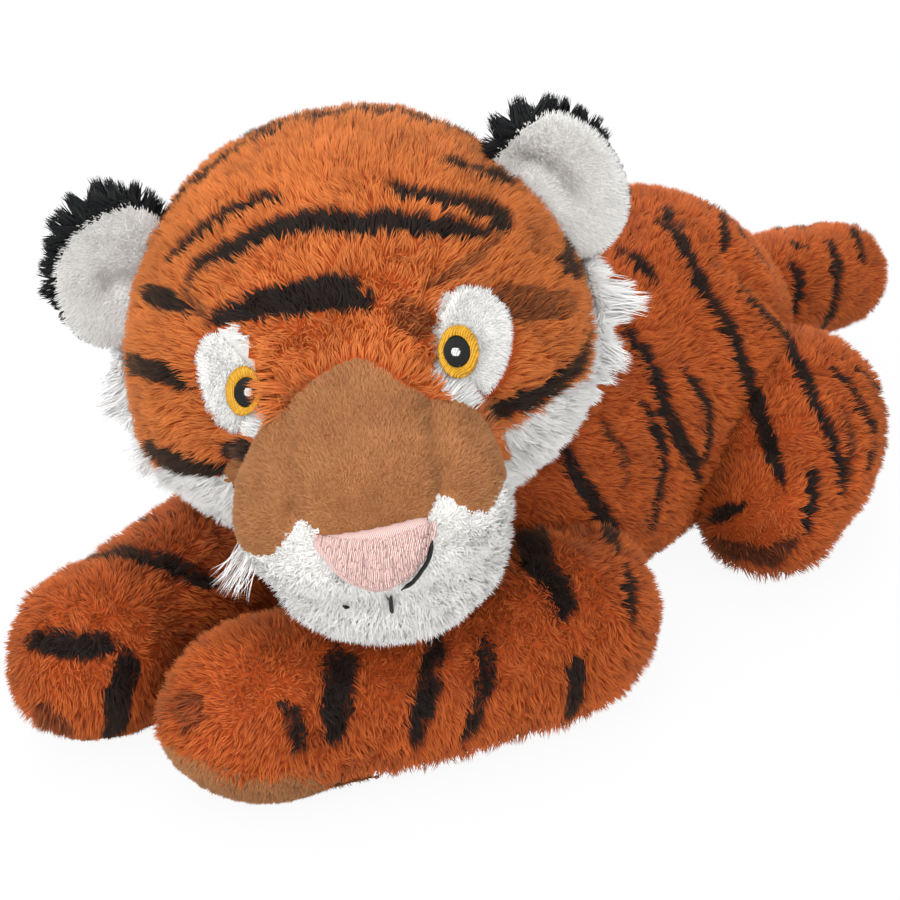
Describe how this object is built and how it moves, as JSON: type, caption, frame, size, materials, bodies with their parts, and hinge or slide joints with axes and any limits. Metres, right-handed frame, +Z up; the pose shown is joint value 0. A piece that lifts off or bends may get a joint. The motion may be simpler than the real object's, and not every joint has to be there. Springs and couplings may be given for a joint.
{
  "type": "plush tiger",
  "caption": "Plush tiger lying on its belly, head turned to one side, with sewn limbs, ears and tail that flex at their seams.",
  "frame": {"origin": "on the surface it lies on, under the middle of its bounding box", "axes": "+Z up, +Y towards the tail, so the tiger faces -Y and its left side is +X"},
  "size_m": [0.1596, 0.3466, 0.1574],
  "materials": {
    "orange_plush": "dense short plush pile, orange with near-black stripes",
    "tan_plush": "very short velour pile",
    "white_plush": "soft white pile, curly on the lips and long on the cheeks",
    "black_plush": "long matt black pile",
    "pink_velour": "pink terry velour",
    "gold_thread": "satin-stitched gold thread",
    "black_thread": "satin-stitched black thread",
    "white_thread": "satin-stitched white thread",
    "stuffing": "white polyester fibre filling",
    "pouch_cloth": "plain woven pouch filled with plastic pellets"
  },
  "bodies": {
    "torso": {"torso_skin": "orange_plush", "torso_stuffing": "stuffing", "pellet_pouch": "pouch_cloth"},
    "neck": {"neck_stuffing": "stuffing"},
    "head": {"head_skin": "orange_plush", "muzzle_bridge": "tan_plush", "muzzle_lips": "white_plush", "head_stuffing": "stuffing", "nose": "pink_velour", "mouth_stitch": "black_thread", "eye_patch_left": "white_plush", "eye_patch_right": "white_plush", "eye_ring_left": "gold_thread", "eye_ring_right": "gold_thread", "pupil_left": "black_thread", "pupil_right": "black_thread", "eye_glint_left": "white_thread", "eye_glint_right": "white_thread", "cheek_ruff_left": "white_plush", "cheek_ruff_right": "white_plush"},
    "ear_left": {"ear_back_left": "black_plush", "ear_lining_left": "white_plush"},
    "ear_right": {"ear_back_right": "black_plush", "ear_lining_right": "white_plush"},
    "foreleg_left": {"foreleg_left_skin": "orange_plush", "foreleg_left_stuffing": "stuffing", "foreleg_left_sole": "tan_plush"},
    "foreleg_right": {"foreleg_right_skin": "orange_plush", "foreleg_right_stuffing": "stuffing", "foreleg_right_sole": "tan_plush"},
    "hind_leg_left": {"hind_leg_left_skin": "orange_plush", "hind_leg_left_stuffing": "stuffing"},
    "hind_leg_right": {"hind_leg_right_skin": "orange_plush", "hind_leg_right_stuffing": "stuffing"},
    "tail": {"tail_skin": "orange_plush", "tail_stuffing": "stuffing"}
  },
  "joints": [
    {"name": "head_turn", "type": "hinge", "parent": "torso", "child": "neck", "pos_m": [0, -0.07334, 0.079], "axis": [0, 0, 1], "range_deg": [-20, 20]},
    {"name": "head_nod", "type": "hinge", "parent": "neck", "child": "head", "pos_m": [0, -0.07334, 0.079], "axis": [0.809, 0.5878, 0], "range_deg": [-12, 0]},
    {"name": "ear_left_fold", "type": "hinge", "parent": "head", "child": "ear_left", "pos_m": [0.024, -0.07491, 0.12962], "axis": [-0.4036, -0.3533, 0.844], "range_deg": [-20, 30]},
    {"name": "ear_right_fold", "type": "hinge", "parent": "head", "child": "ear_right", "pos_m": [-0.03775, -0.11977, 0.11548], "axis": [-0.1873, -0.076, -0.9794], "range_deg": [-20, 30]},
    {"name": "foreleg_left_swing", "type": "hinge", "parent": "torso", "child": "foreleg_left", "pos_m": [0.037, -0.05334, 0.034], "axis": [0, 0, 1], "range_deg": [0, 35]},
    {"name": "foreleg_right_swing", "type": "hinge", "parent": "torso", "child": "foreleg_right", "pos_m": [-0.037, -0.05334, 0.034], "axis": [0, 0, 1], "range_deg": [-35, 0]},
    {"name": "hind_leg_left_swing", "type": "hinge", "parent": "torso", "child": "hind_leg_left", "pos_m": [0.04, 0.06066, 0.033], "axis": [0, 0, 1], "range_deg": [0, 25]},
    {"name": "hind_leg_right_swing", "type": "hinge", "parent": "torso", "child": "hind_leg_right", "pos_m": [-0.04, 0.06066, 0.033], "axis": [0, 0, 1], "range_deg": [-25, 0]},
    {"name": "tail_swing", "type": "hinge", "parent": "torso", "child": "tail", "pos_m": [0.008, 0.09066, 0.043], "axis": [0, 0, 1], "range_deg": [-20, 20]}
  ]
}
